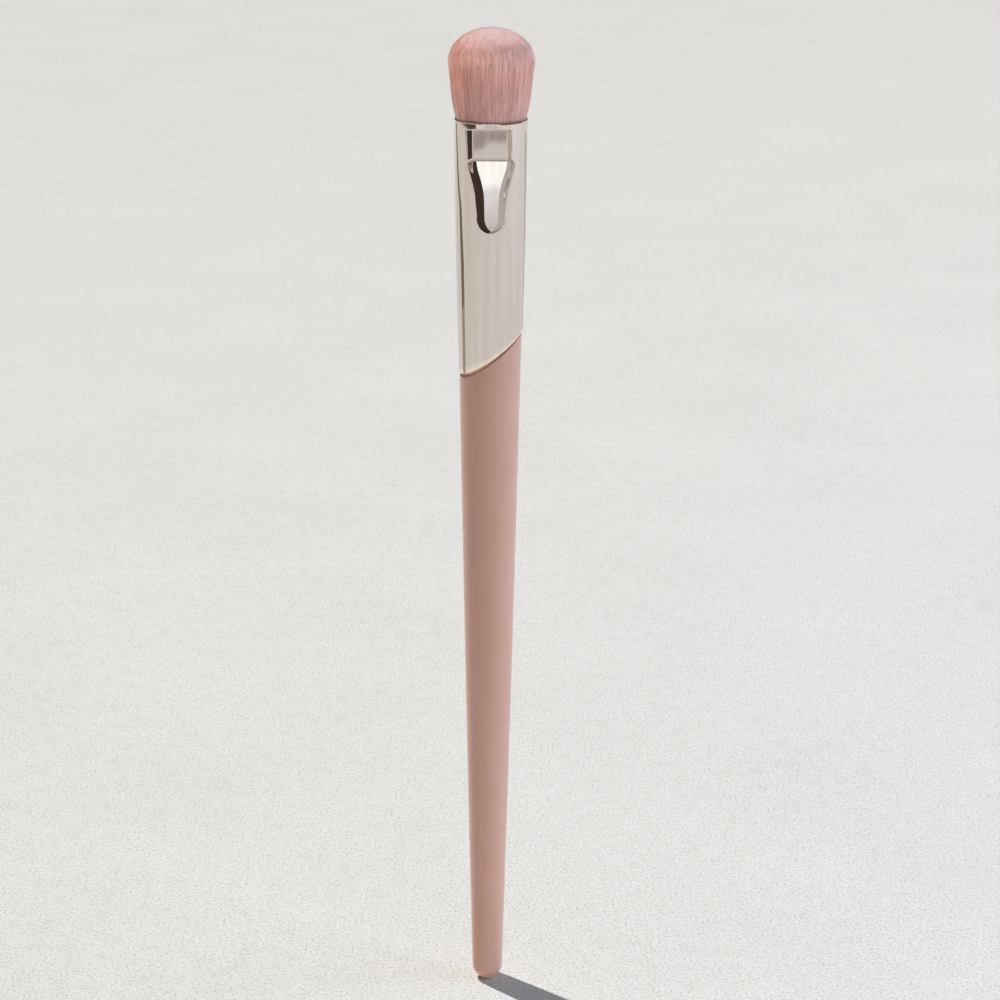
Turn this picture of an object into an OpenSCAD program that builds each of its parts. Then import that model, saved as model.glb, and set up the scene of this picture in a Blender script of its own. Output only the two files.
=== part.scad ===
// Eyeshadow brush: a turned handle, a plated ferrule with stamped crimps and a domed head of bristles.
// The brush stands on its tail with +Z along it, and its front, which carries a crimp, faces -Y.

/* [Handle] */
// Height of the middle of the slanted joint above the tail
handle_l = 119.8; // [100:0.1:140]
// Diameter that the taper would have at the very tail
tail_d = 5.3; // [4.8:0.1:6.5]
// Diameter at the joint
handle_d = 10.66; // [9:0.02:12]
// How much fuller than a straight taper the middle of the handle is
belly = 0.1; // [0:0.02:0.3]
// Radius of the flat foot under the tail
foot_r = 1; // [0.6:0.1:2]
// Height of the rounding at the tail
tail_round = 2.2; // [1:0.1:4]
// Clearance for glue between the tenon and the narrowest place that it fills in the ferrule
tenon_play = 0.32; // [0.15:0.01:0.8]
// Empty length between the tenon and the glue behind the bristles
hollow_l = 3.26; // [1:0.01:6]
// Chamfer at the end of the tenon
tenon_chamfer = 0.6; // [0.2:0.1:1]

/* [Ferrule] */
// Height of the ferrule from the middle of the joint to the mouth
ferrule_l = 40.2; // [34:0.1:50]
// Height from the middle of the joint to the lower end of the crimp
plain_l = 21.8; // [18:0.1:25]
// How far the ferrule stands out from the handle at the joint
joint_proud = 0.14; // [0.05:0.01:0.3]
// Width of the mouth
mouth_w = 12.3; // [10.5:0.1:14]
// Depth of the mouth, from front to back
mouth_depth = 11.4; // [10:0.1:13]
// Distance from the crimp's lower end down to where the ferrule turns round
oval_drop = 4.6; // [4:0.1:8]
// Thickness of the sheet
sheet = 0.3; // [0.2:0.02:0.35]
// Slope of the joint, which lies lower on the left
slant = 35.5; // [20:0.5:38]
// How far that slope is turned round the brush, so that the joint lies a little lower at the front than at the back
slant_turn = 11.5; // [0:0.5:20]
// Gap of the seam between the ferrule and the handle's shoulder
seam_gap = 0.14; // [0.05:0.01:0.3]

/* [Crimp] */
// Plain lip between the mouth and the crimp
lip = 1.1; // [0.8:0.1:1.6]
// Width left plain on each side of the flat panel under the lip
panel_margin = 2.55; // [2.3:0.01:3.2]
// Height of the panel
panel_l = 5.4; // [4:0.1:6]
// How far the panel lies behind the front of the ferrule
panel_depth = 1.5; // [1.4:0.05:1.8]
// Width that a side wall of the panel takes
panel_wall = 0.6; // [0.3:0.05:0.8]
// Height of the step between the panel and the trough
step_l = 0.12; // [0.05:0.01:0.3]
// Width left plain on each side of the trough's top
trough_margin = 2.3; // [1.8:0.01:2.5]
// Width left plain on each side of the trough's lower stretch
throat_margin = 3.75; // [3.2:0.01:4.1]
// How far the top of the trough lies behind the front of the ferrule
trough_depth = 2.4; // [2.1:0.05:2.6]
// How far the bottom of the trough lies behind the front of the ferrule
throat_depth = 1.15; // [1:0.05:1.4]
// Width that a side wall of the trough takes
trough_wall = 0.92; // [0.6:0.02:1.1]
// Height of the trough's rounded end
end_l = 1.9; // [1:0.1:2.4]

/* [Bristles] */
// Height of the head above the mouth
head_l = 15.25; // [12:0.05:18]
// Height above the mouth where the head is widest
widest_l = 9.6; // [8:0.1:10]
// Width of the head where it is widest
head_w = 14.33; // [13.6:0.05:15]
// Depth of the head where it is widest
head_depth = 13.3; // [12.4:0.1:14]
// Height above the mouth of the bend in each bristle
bend_l = 5; // [4:0.1:5.4]
// Width of the head at that bend
bend_w = 13.5; // [13:0.05:13.7]
// Gap between the bristles and the ferrule's edge at the mouth
bristle_gap = 0.05; // [0.03:0.01:0.2]
// Gap between neighbouring bristles at the root
strand_gap = 0.11; // [0.08:0.01:0.16]
// Rings of bristles round the middle one
strand_rings = 10; // [9:1:10]
// Thickness of the slice that joins the bristles
slice_t = 0.3; // [0.2:0.02:0.5]
// Clearance between the slice and the upper edge of the crimp
slice_gap = 0.05; // [0.03:0.01:0.2]

/* [Inner pieces] */
// Clearance between bonded pieces
bond_gap = 0.04; // [0.03:0.01:0.08]
// Clearance between the binding thread and the ferrule
neck_gap = 0.45; // [0.2:0.01:0.8]
// Distance from the crimp's lower end to the neck
neck_drop = 0.9; // [0.8:0.1:1.2]
// Diameter of the binding thread
thread_d = 0.7; // [0.5:0.05:0.9]
// Turns of the binding thread
thread_turns = 3; // [2:1:3]
// Thickness of the glue behind the root
plug_t = 2.6; // [1.5:0.1:2.8]
// How far the handle's glue stops short of the tenon's end
glue_short = 0.9; // [0.7:0.1:2]

/* [Hidden] */
$fn = 96;
// Overrun of the cuts
over = 1;
joint_z = handle_l;
mouth_z = joint_z + ferrule_l;
joint_r = handle_d / 2 + joint_proud;
// Half the height that the slanted joint spans at the ferrule's wall
slant_rise = joint_r * tan(slant);
low_z = joint_z - slant_rise - over;
crimp_z = mouth_z - lip;
step_z = crimp_z - panel_l;
trough_end_z = joint_z + plain_l;
trough_l = step_z - trough_end_z;
round_z = trough_end_z - oval_drop;
panel_w = mouth_w - 2 * panel_margin;
trough_w = mouth_w - 2 * trough_margin;
throat_w = mouth_w - 2 * throat_margin;
slice_z = crimp_z + sheet + slice_gap + slice_t;
root_top = slice_z - slice_t - bond_gap;
neck_l = thread_d * (thread_turns + 1);
neck_top = trough_end_z - neck_drop;
neck_z = neck_top - neck_l;
neck_r = half_w(neck_z) - sheet - neck_gap - thread_d - bond_gap;
plug_top = neck_z - bond_gap;
tenon_z = plug_top - plug_t - hollow_l;
tenon_r = min(half_w(joint_z), half_w(tenon_z)) - sheet - tenon_play;
// Sides of the ferrule's outline, and rings of points along it
sides = 64;
steps = 13;
handle_steps = 12;
round_steps = 6;
trough_steps = 7;
end_steps = 5;
// How fast the trough narrows, and how fast its floor comes forward
narrow_power = 3;
ramp_power = 1.8;
// How far the rounding of the tail leans towards a cone; 1 is a plain ellipse
tail_power = 1.5;

function smooth(s) = let (c = min(1, max(0, s))) c * c * (3 - 2 * c);

// Outline of the handle and of the ferrule at height z
function handle_r(z) = let (s = z / joint_z)
    (tail_d + (handle_d - tail_d) * s) / 2 + belly * 4 * s * (1 - s);
function half_w(z) = joint_r + (mouth_w / 2 - joint_r) * sin(90 * (z - joint_z) / ferrule_l);
function squeeze(z) = (mouth_w - mouth_depth) / 2 * smooth((z - round_z) / (mouth_z - round_z));
function half_d(z) = half_w(z) - squeeze(z);

// Triangles of the side of a stack of closed rings that hold n points each
function side_faces(n, rings) = [
    for (r = [0 : rings - 2], k = [0 : n - 1])
        let (a = r * n + k, b = r * n + (k + 1) % n) each [[a, a + n, b], [b, a + n, b + n]]
];
function fan(n, first, turned) = [
    for (k = [1 : n - 2])
        turned ? [first, first + k, first + k + 1] : [first, first + k + 1, first + k]
];
module stack(points, n) {
    rings = len(points) / n;
    polyhedron(points, concat(side_faces(n, rings), fan(n, 0, true), fan(n, (rings - 1) * n, false)));
}

// The ferrule's form, drawn in by inset, between two heights
module tube_form(inset, from, to) {
    stack([
        for (s = [0 : steps], k = [0 : sides - 1])
            let (z = from + (to - from) * s / steps, turn = 360 * k / sides)
            [(half_w(z) - inset) * cos(turn), (half_d(z) - inset) * sin(turn), z]
    ], sides);
}

// The same form where it is round
module round_form(inset, from, to) {
    rotate_extrude()
        polygon(concat([[0, from]], [
            for (s = [0 : round_steps])
                let (z = from + (to - from) * s / round_steps) [half_w(z) - inset, z]
        ], [[0, to]]));
}

// Everything above the slanted joint, raised by rise along the brush
module above_joint(rise) {
    translate([0, 0, joint_z + rise])
        rotate([0, -slant, slant_turn])
            translate([-mouth_z, -mouth_w, 0])
                cube([2 * mouth_z, 2 * mouth_w, mouth_z]);
}

// One cross-section of the crimp's form: floor and side walls, carried out past the front
function crimp_section(z, surface_w, wall, depth, grow) =
    let (front = half_d(z), out = mouth_w / 2 + over, floor_y = front - depth - grow)
    let (edge = surface_w / 2 + grow, floor_x = edge - wall)
    let (edge_y = front * sqrt(1 - pow(edge / half_w(z), 2)))
    let (out_x = floor_x + wall * (out - floor_y) / (edge_y - floor_y))
    [[-out_x, -out, z], [out_x, -out, z], [floor_x, -floor_y, z], [-floor_x, -floor_y, z]];

function trough_width(t) = throat_w + (trough_w - throat_w) * pow(1 - t, narrow_power);
function trough_floor(t) = throat_depth + (trough_depth - throat_depth) * pow(1 - t, ramp_power);
function end_share(t) = let (start = 1 - end_l / trough_l)
    t <= start ? 1 : sqrt(1 - pow((t - start) / (1 - start), 2));

// Places along the trough, as shares of its height: even steps, then the steps of the rounded end
trough_shares = concat(
    [for (k = [0 : trough_steps]) (1 - end_l / trough_l) * k / trough_steps],
    [for (k = [1 : end_steps]) 1 - end_l / trough_l * (1 - sin(90 * k / (end_steps + 1)))]
);

// The crimp on the front, enlarged by grow for the sheet behind it
module front_crimp(grow) {
    stack(concat(
        [for (t = [for (k = [len(trough_shares) - 1 : -1 : 0]) trough_shares[k]])
            let (z = step_z - trough_l * t + grow * (1 - 2 * t))
            let (width = trough_width(t) * end_share(t), wall = trough_wall * end_share(t))
            each crimp_section(z, width, wall, trough_floor(t), grow)],
        crimp_section(step_z + step_l + grow, panel_w, panel_wall, panel_depth, grow),
        crimp_section(crimp_z + grow, panel_w, panel_wall, panel_depth, grow)
    ), 4);
}
module crimps(grow) {
    for (side = [0, 1]) rotate([0, 0, 180 * side]) front_crimp(grow);
}

// Turned handle, with its rounded tail, slanted shoulder and tenon
module handle() {
    color([0.77, 0.61, 0.55]) {
        difference() {
            rotate_extrude()
                polygon(concat(
                    [[0, 0]],
                    [for (k = [0 : handle_steps])
                        let (turn = 90 * k / handle_steps)
                        [foot_r + (handle_r(tail_round) - foot_r) * pow(sin(turn), tail_power),
                            tail_round * (1 - pow(cos(turn), tail_power))]],
                    [for (k = [1 : handle_steps])
                        let (z = tail_round + (joint_z + slant_rise + over - tail_round) * k / handle_steps)
                        [handle_r(z), z]],
                    [[0, joint_z + slant_rise + over]]
                ));
            above_joint(0);
        }
        rotate_extrude()
            polygon([[0, low_z - over], [tenon_r, low_z - over], [tenon_r, tenon_z - tenon_chamfer],
                [tenon_r - tenon_chamfer, tenon_z], [0, tenon_z]]);
    }
}

// Plated tube, cut on a slant below and crimped at the front and the back
module ferrule() {
    color([0.84, 0.79, 0.75])
        intersection() {
            difference() {
                tube_form(0, low_z, mouth_z);
                difference() {
                    tube_form(sheet, low_z - over, mouth_z + over);
                    crimps(sheet);
                }
                crimps(0);
            }
            above_joint(seam_gap);
        }
}

// Lower part of the bundle, set in adhesive and pinched by the crimps
module bristle_root() {
    color([0.72, 0.55, 0.5]) {
        difference() {
            tube_form(sheet + bond_gap, neck_top, root_top);
            crimps(sheet + bond_gap);
        }
        translate([0, 0, neck_z]) cylinder(r = neck_r, h = neck_l + bond_gap);
    }
}

// Turns of thread tied round the neck
module binding_thread() {
    color([0.93, 0.91, 0.86])
        for (k = [0 : thread_turns - 1])
            translate([0, 0, neck_z + thread_d * (k + 1)])
                rotate_extrude()
                    translate([neck_r + bond_gap + thread_d / 2, 0]) circle(d = thread_d + bond_gap / 2);
}

// Epoxy behind the root
module root_glue() {
    color([0.9, 0.85, 0.68])
        round_form(sheet + bond_gap, plug_top - plug_t, plug_top);
}

// Adhesive between the tenon and the ferrule
module handle_glue() {
    color([0.93, 0.88, 0.74])
        intersection() {
            difference() {
                round_form(sheet + bond_gap, low_z, tenon_z - glue_short);
                translate([0, 0, low_z - over])
                    cylinder(r = tenon_r + bond_gap, h = tenon_z + 2 * over - low_z);
            }
            above_joint(bond_gap);
        }
}

// The bristles. Each keeps its place, as a share of the head's outline, at every height, so none crosses another.
bend_z = mouth_z + bend_l;
widest_z = mouth_z + widest_l;
dome_l = head_l - widest_l;
depth_share = head_depth / head_w;
// The bristles spread from the slice to the bend, and pass the mouth's edge at the gap on the way
mouth_share = (mouth_z - slice_z) / (bend_z - slice_z);
function slice_half(mouth_half, bend_half) =
    (mouth_half - sheet - bristle_gap - mouth_share * bend_half) / (1 - mouth_share);
slice_half_w = slice_half(half_w(mouth_z), bend_w / 2);
slice_half_d = slice_half(half_d(mouth_z), bend_w / 2 * depth_share);
// Spread of the head for each unit of height above the bend
spread = (head_w - bend_w) / 2 / (widest_z - bend_z);
// Pitch of the rings, as a share of the outline's radius
pitch_share = 1 / (strand_rings + 0.5);
gap_share = strand_gap / slice_half_w;
strands_in_ring = [for (i = [0 : strand_rings]) max(1, 6 * i)];
rim_points = 6 * strand_rings;

// Height of the domed end at a place that lies rho of the way out
function dome_z(rho) =
    let (w = head_w / 2, m = spread * dome_l, r2 = rho * rho)
    let (a = m * m * r2 + w * w, b = w * m * r2, c = w * w * (r2 - 1))
    widest_z + dome_l * (sqrt(b * b - a * c) - b) / a;

// A place of the outline, given as a share out and a direction, at one of the three levels of a bristle
function spot(rho, turn, level) =
    let (z = level == 0 ? slice_z : level == 1 ? bend_z : dome_z(min(1, rho)))
    let (w = level == 0 ? slice_half_w : bend_w / 2 + spread * (z - bend_z))
    let (d = level == 0 ? slice_half_d : w * depth_share)
    [w * rho * cos(turn), d * rho * sin(turn), z];

// The four corners of each bristle of ring i, inner one first, then on round it
function ring_turn(i, k) = 360 * (k + (i % 2) / 2) / strands_in_ring[i];
function ring_corners(i, k, level) =
    let (slim = level == 2 ? 2 * gap_share : gap_share)
    let (inner = i == 0 ? 0 : (i - 0.5) * pitch_share + slim / 2, outer = (i + 0.5) * pitch_share - slim / 2)
    let (mid = i * pitch_share, pitch = 360 / strands_in_ring[i])
    let (half = i == 0 ? 0 : (pitch - slim / mid * 180 / PI) / 2, turn = ring_turn(i, k))
    i == 0
        ? [for (q = [0 : 3]) spot(outer, 90 * q, level)]
        : [spot(inner, turn - half, level), spot(outer, turn - half, level),
            spot(outer, turn + half, level), spot(inner, turn + half, level)];

// Numbers of the first bristle of each ring, and of a bristle's corner at a level
function first_strand(i) = i == 0 ? 0 : 1 + 3 * i * (i - 1);
strand_count = first_strand(strand_rings) + strands_in_ring[strand_rings];
function corner(i, k, q, level) =
    ((first_strand(i) + k % strands_in_ring[i]) * 3 + level) * 4 + q;

// Closed chains of corner numbers round a ring, on its inner and outer side, at the root
function inner_chain(i) = [
    for (k = [0 : strands_in_ring[i] - 1]) each [corner(i, k, 0, 0), corner(i, k, 3, 0)]
];
function outer_chain(i) = i == 0
    ? [for (q = [0 : 3]) corner(0, 0, q, 0)]
    : [for (k = [0 : strands_in_ring[i] - 1]) each [corner(i, k, 1, 0), corner(i, k, 2, 0)]];

// Triangles between two closed chains, taken by their middles in turn
function zip(a, b) =
    let (m = len(a), n = len(b))
    concat(
        [for (j = [0 : m - 1])
            let (k = max(0, ceil(n * (j + 0.5) / m - 0.5)))
            [a[j], a[(j + 1) % m], b[k % n]]],
        [for (k = [0 : n - 1])
            let (j = floor(m * (k + 0.5) / n - 0.5) + 1)
            [a[j % m], b[(k + 1) % n], b[k]]]
    );

first_rim = strand_count * 12;
rim_chain = [for (k = [0 : rim_points - 1]) first_rim + k];
tuft_points = concat(
    [for (i = [0 : strand_rings], k = [0 : strands_in_ring[i] - 1], level = [0 : 2])
        each ring_corners(i, k, level)],
    [for (low = [0, 1], k = [0 : rim_points - 1])
        let (place = spot(1 + gap_share / 4, ring_turn(strand_rings, 0) + 360 * (k - 0.5) / rim_points, 0))
        [place[0], place[1], slice_z - slice_t * low]]
);
tuft_faces = concat(
    [for (i = [0 : strand_rings], k = [0 : strands_in_ring[i] - 1], level = [0, 1], q = [0 : 3])
        let (a = corner(i, k, q, level), b = corner(i, k, (q + 1) % 4, level))
        each [[a, a + 4, b], [b, a + 4, b + 4]]],
    [for (i = [0 : strand_rings], k = [0 : strands_in_ring[i] - 1])
        let (a = corner(i, k, 0, 2)) each [[a, a + 2, a + 1], [a, a + 3, a + 2]]],
    [for (i = [1 : strand_rings], k = [0 : strands_in_ring[i] - 1])
        let (a = corner(i, k, 3, 0), b = corner(i, k, 2, 0))
        let (c = corner(i, k + 1, 1, 0), d = corner(i, k + 1, 0, 0))
        each [[a, c, b], [a, d, c]]],
    [for (i = [1 : strand_rings]) each zip(outer_chain(i - 1), inner_chain(i))],
    zip(outer_chain(strand_rings), rim_chain),
    [for (k = [0 : rim_points - 1])
        let (a = first_rim + k, b = first_rim + (k + 1) % rim_points)
        each [[a, b, a + rim_points], [b, b + rim_points, a + rim_points]]],
    [for (k = [1 : rim_points - 2])
        [first_rim + rim_points, first_rim + rim_points + k, first_rim + rim_points + k + 1]]
);

// Free bristles, rising from one thin slice
module bristle_tuft() {
    color([0.87, 0.68, 0.66]) polyhedron(tuft_points, tuft_faces);
}

handle();
ferrule();
bristle_tuft();
bristle_root();
binding_thread();
root_glue();
handle_glue();
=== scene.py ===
# Looks for a domed eyeshadow brush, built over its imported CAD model.
# Sizes in the dictionaries are millimetres; everything made is in metres.
import math

import bpy
import numpy as np
from mathutils import Matrix, Vector


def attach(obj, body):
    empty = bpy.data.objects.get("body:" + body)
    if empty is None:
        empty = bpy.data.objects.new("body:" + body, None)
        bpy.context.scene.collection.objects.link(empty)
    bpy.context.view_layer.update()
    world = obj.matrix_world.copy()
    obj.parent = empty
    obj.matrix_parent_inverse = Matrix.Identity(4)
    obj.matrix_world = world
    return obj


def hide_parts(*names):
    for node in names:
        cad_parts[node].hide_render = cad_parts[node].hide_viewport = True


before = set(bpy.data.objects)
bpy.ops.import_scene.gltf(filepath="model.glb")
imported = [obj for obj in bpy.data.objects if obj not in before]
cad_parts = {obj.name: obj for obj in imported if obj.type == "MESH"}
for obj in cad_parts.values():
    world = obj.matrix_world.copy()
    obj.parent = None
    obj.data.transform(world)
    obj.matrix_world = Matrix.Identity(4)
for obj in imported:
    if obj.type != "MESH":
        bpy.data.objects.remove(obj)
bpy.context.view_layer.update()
mm = 0.001
print("frame loaded:", ", ".join(sorted(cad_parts)))


# General helpers

def linear(hexColour):
    # sRGB hex to the linear values that Blender's sockets take
    values = [int(hexColour[i:i + 2], 16) / 255 for i in (1, 3, 5)]
    return tuple(v / 12.92 if v <= 0.04045 else ((v + 0.055) / 1.055) ** 2.4 for v in values) + (1.0,)


def perMetre(size):
    # texture scale at which one noise cell measures size millimetres
    return 1 / (size * mm)


def addNode(tree, kind, settings=None, links=None):
    node = tree.nodes.new("ShaderNode" + kind)
    for name, value in (settings or {}).items():
        if name == "stops":
            ramp = node.color_ramp
            while len(ramp.elements) < len(value):
                ramp.elements.new(0.5)
            for element, (position, colour) in zip(ramp.elements, value):
                element.position, element.color = position, colour
        elif isinstance(name, str) and hasattr(node, name):
            setattr(node, name, value)
        else:
            node.inputs[name].default_value = value
    for name, source in (links or {}).items():
        tree.links.new(source, node.inputs[name])
    return node


def newMaterial(name):
    material = bpy.data.materials.new(name)
    material.use_nodes = True
    tree = material.node_tree
    tree.nodes.clear()
    output = addNode(tree, "OutputMaterial")
    return material, tree, output


def smooth(share):
    # 0 to 1 with a soft start and end
    share = min(max(share, 0), 1)
    return share * share * (3 - 2 * share)


def mix(start, end, share):
    return start + (end - start) * share


def spaced(start, end, count):
    # even steps as far as the end, without the start
    return [start + (end - start) * k / count for k in range(1, count + 1)]


def smoothLower(a, b, blend):
    # the lower of two values, with a rounded corner where they meet
    h = min(max(0.5 + 0.5 * (b - a) / blend, 0), 1)
    return b + (a - b) * h - blend * h * (1 - h)


def around(radius, turn, z):
    return (radius * math.cos(turn), radius * math.sin(turn), z)


def makePiece(name, points, faces, material, node, paintedLightTones=None):
    mesh = bpy.data.meshes.new(name)
    mesh.from_pydata(points, [], faces)
    mesh.validate()
    mesh.polygons.foreach_set("use_smooth", [True] * len(mesh.polygons))
    if paintedLightTones:
        mesh.attributes.new("tone", "FLOAT", "POINT").data.foreach_set("value", paintedLightTones)
    mesh.materials.append(material)
    piece = bpy.data.objects.new(name, mesh)
    bpy.context.scene.collection.objects.link(piece)
    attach(piece, "root")
    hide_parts(node)
    return piece


def skinRings(rings, closedLoop=False):
    # quads between rings of equal length, with flat ends or joined into a loop
    count = len(rings[0])
    points = [tuple(v * mm for v in p) for ring in rings for p in ring]
    pairs = [(i, i + 1) for i in range(len(rings) - 1)]
    if closedLoop:
        pairs.append((len(rings) - 1, 0))
    faces = [(a * count + j, a * count + (j + 1) % count, b * count + (j + 1) % count, b * count + j)
             for a, b in pairs for j in range(count)]
    if not closedLoop:
        faces.append(tuple(range(count))[::-1])
        faces.append(tuple((len(rings) - 1) * count + j for j in range(count)))
    return points, faces


# Slanted joint, where the ferrule meets the handle

joint = {
    "height": 119.8,                    # where the joint crosses the middle of the brush
    "handleWidth": 10.66,
    "proud": 0.14,                      # how far the ferrule stands out from the handle
    "slant": 35.5, "slantTurn": 11.5,   # degrees: its slope, and how far it is turned round the brush
    "rounds": 8,                        # a height on the slope is searched for in this many rounds
}
jointHeight = joint["height"]
jointRadius = joint["handleWidth"] / 2 + joint["proud"]
slope = math.tan(math.radians(joint["slant"]))
slantTurn = math.radians(joint["slantTurn"])


# Handle: one turned solid, from the foot to the end of the tenon inside the ferrule

handle = {
    "tailWidth": 5.3, "belly": 0.1, "footRadius": 1.0, "tailRound": 2.2, "tailPower": 1.5,
    "tenonRadius": 4.85, "tenonTop": 131.8, "tenonChamfer": 0.6,
    "edgeDrop": 0.36, "edgeInset": 0.26,    # soft edge that the lacquer leaves on the shoulder
    "shoulderOpen": 0.45,                   # how much wider the seam is on its low side
    "levelUnder": 3.0,                      # level rows end this far under the shoulder's low side
    "sides": 192, "tailRows": 20, "shaftRows": 40, "slantRows": 8, "edgeRows": 9,
}


def handleRadius(z):
    s = z / jointHeight
    width = mix(handle["tailWidth"], joint["handleWidth"], s)
    return width / 2 + handle["belly"] * 4 * s * (1 - s)


def shoulderHeight(turn, inset):
    # height of the slanted shoulder at one side of the brush, an inset in from its edge
    z, across = jointHeight, math.cos(turn - slantTurn)
    for _ in range(joint["rounds"]):
        rise = (handleRadius(z) - inset) * across * slope
        z = jointHeight + rise - handle["shoulderOpen"] * (1 - across) / 2
    return z


def buildHandle(material):
    turns = [2 * math.pi * j / handle["sides"] for j in range(handle["sides"])]
    tail, foot, power = handle["tailRound"], handle["footRadius"], handle["tailPower"]
    rings = []
    for k in range(handle["tailRows"] + 1):
        a = math.pi / 2 * k / handle["tailRows"]
        r = foot + (handleRadius(tail) - foot) * math.sin(a) ** power
        z = tail * (1 - max(math.cos(a), 0) ** power)
        rings.append([around(r, t, z) for t in turns])
    low = jointHeight - jointRadius * slope - handle["levelUnder"]
    for z in spaced(tail, low, handle["shaftRows"]):
        rings.append([around(handleRadius(z), t, z) for t in turns])

    drop, inset = handle["edgeDrop"], handle["edgeInset"]
    columns = [spaced(low, shoulderHeight(t, 0) - drop, handle["slantRows"]) for t in turns]
    for row in zip(*columns):       # up the sheared part, to where the soft edge starts
        rings.append([around(handleRadius(z), t, z) for t, z in zip(turns, row)])
    for k in range(1, handle["edgeRows"] + 1):
        a = math.pi / 2 * k / handle["edgeRows"]
        inward = inset * (1 - math.cos(a))
        rings.append([around(handleRadius(shoulderHeight(t, 0)) - inward, t,
                             shoulderHeight(t, inward) - drop * (1 - math.sin(a))) for t in turns])

    tenon, chamfer = handle["tenonRadius"], handle["tenonChamfer"]
    inward = handleRadius(jointHeight) - tenon
    rings.append([around(tenon, t, shoulderHeight(t, inward)) for t in turns])
    for r, z in ((tenon, handle["tenonTop"] - chamfer), (tenon - chamfer, handle["tenonTop"])):
        rings.append([around(r, t, z) for t in turns])
    points, faces = skinRings(rings)
    makePiece("lacqueredHandle", points, faces, material, "handle")


# Ferrule: a thin drawn tube, cut slanted below, oval at the mouth and crimped front and back

ferrule = {
    "length": 40.2, "mouthWidth": 12.3, "mouthDepth": 12.0, "sheet": 0.3,
    "rim": 0.14,                # rounding of the cut edges
    "gap": 0.16,                # seam over the handle's shoulder
    "roundHeight": 137.0,       # the tube is round up to here, and then turns oval
    "faceHeight": 156.0,        # the recess's depths are measured from the tube's face at this height
    # panel: half-widths, of which only the left one flares upwards, depth, and width of its walls
    # at the top and at the step
    "panelLeft": 3.76, "panelRight": 3.42, "panelFlare": 0.34, "panelDepth": 2.0,
    "wallTop": 0.95, "wall": 0.74,
    "lip": 1.1,                 # height of the plain lip over the panel
    "lipDepth": 0.2,            # the stamping flattens the lip a little
    "lipTurn": 0.36, "lipOver": 0.16,       # height of its turn into the panel, and the part over its edge
    # trough: top, length, half-widths, depths, and width of its walls at the top and from the share
    # wallRun on
    "step": 153.35, "troughLength": 11.75, "troughLeft": 3.8, "troughRight": 3.95, "throat": 2.3,
    "troughDepth": 2.5, "throatDepth": 1.02, "depthPower": 1.8,
    "troughStart": 0.98, "troughWall": 1.13, "wallRun": 0.3,
    "stepFade": 0.3,            # height over which the panel turns down into the trough
    "corner": 0.7,              # height over which the panel's edges run into the trough's
    # how the trough narrows: quickly within its upper half, and slowly down to its end
    "quickShare": 0.57, "quickRun": 0.5, "slowShare": 0.43, "slowPower": 1.3,
    "endLength": 2.6, "endPower": 2.4,      # its rounded end
    "rightShare": 0.74,         # the right walls have this share of the width, so they are steeper
    "wallPower": 0.8, "wallLimit": 0.95,    # walls shrink towards the end, and always leave some floor
    "blend": 0.22,              # rounding that the press leaves on the outer folds
    "fillet": 0.17, "troughFillet": 0.5,    # and at the foot of the walls
    "leastEdge": 0.02, "leastWall": 0.05, "leastLean": 0.35,        # limits where the recess runs out
    # painted shade on the plating in the fold over the trough: how dark, height of its middle over the step,
    # reach up and down from there, and margins of width and depth
    "foldPaintedShade": 0.22, "foldRise": 0.25, "foldReach": 0.38, "foldMargins": (0.15, 0.1),
    # columns and rows of the mesh, which lie close together at the folds; over the trough's end the
    # columns follow its walls, down to a smallest half-width and wall
    "faceShare": 0.85, "columns": (9, 7, 5, 8, 8), "sideColumns": 22,
    "foldSpaces": (-0.22, 0.2, -0.18, 0.34), "followFrom": 1.2, "columnEdge": 1.4, "columnWall": 0.5,
    "plainTop": 126.5, "slantRows": 8, "edgeRows": (0.03, 0.08, 0.16), "rimRows": 8, "cutRows": 5,
}
mouthHeight = jointHeight + ferrule["length"]


def halfWidth(z):
    widening = ferrule["mouthWidth"] / 2 - jointRadius
    return jointRadius + widening * math.sin(math.pi / 2 * (z - jointHeight) / ferrule["length"])


def halfDepth(z):
    squeeze = (ferrule["mouthWidth"] - ferrule["mouthDepth"]) / 2
    up = (z - ferrule["roundHeight"]) / (mouthHeight - ferrule["roundHeight"])
    return halfWidth(z) - squeeze * smooth(up)


faceDepth = halfDepth(ferrule["faceHeight"])


def panelForm(z, inset, right):
    # half-width, wall, depth and fillet of the recess over the step
    crimpTop, step = mouthHeight - ferrule["lip"] + inset, ferrule["step"] + inset
    down = smooth((crimpTop + ferrule["lipOver"] - z) / ferrule["lipTurn"])
    inTrough = smooth((step + ferrule["stepFade"] - z) / ferrule["stepFade"])
    up = min((z - step) / (crimpTop - step), 1)
    if right:
        edge, stepEdge = ferrule["panelRight"], ferrule["troughRight"]
    else:
        edge, stepEdge = ferrule["panelLeft"] + ferrule["panelFlare"] * up, ferrule["troughLeft"]
    edge = mix(edge, stepEdge, smooth(1 - (z - step) / ferrule["corner"]))
    wall = mix(mix(ferrule["wall"], ferrule["wallTop"], up), ferrule["troughStart"], inTrough)
    depth = mix(ferrule["lipDepth"], ferrule["panelDepth"], down)
    depth += (ferrule["troughDepth"] - ferrule["panelDepth"]) * inTrough
    return edge, wall, depth, mix(ferrule["fillet"], ferrule["troughFillet"], inTrough)


def troughForm(run, right):
    # the same at a share of the trough's length
    stepEdge = ferrule["troughRight"] if right else ferrule["troughLeft"]
    quick = ferrule["quickShare"] * (1 - smooth(run / ferrule["quickRun"]))
    slow = ferrule["slowShare"] * (1 - run) ** ferrule["slowPower"]
    edge = mix(ferrule["throat"], stepEdge, quick + slow)
    wall = mix(ferrule["troughStart"], ferrule["troughWall"], smooth(run / ferrule["wallRun"]))
    depth = mix(ferrule["throatDepth"], ferrule["troughDepth"], (1 - run) ** ferrule["depthPower"])
    return edge, wall, depth, ferrule["troughFillet"]


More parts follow.
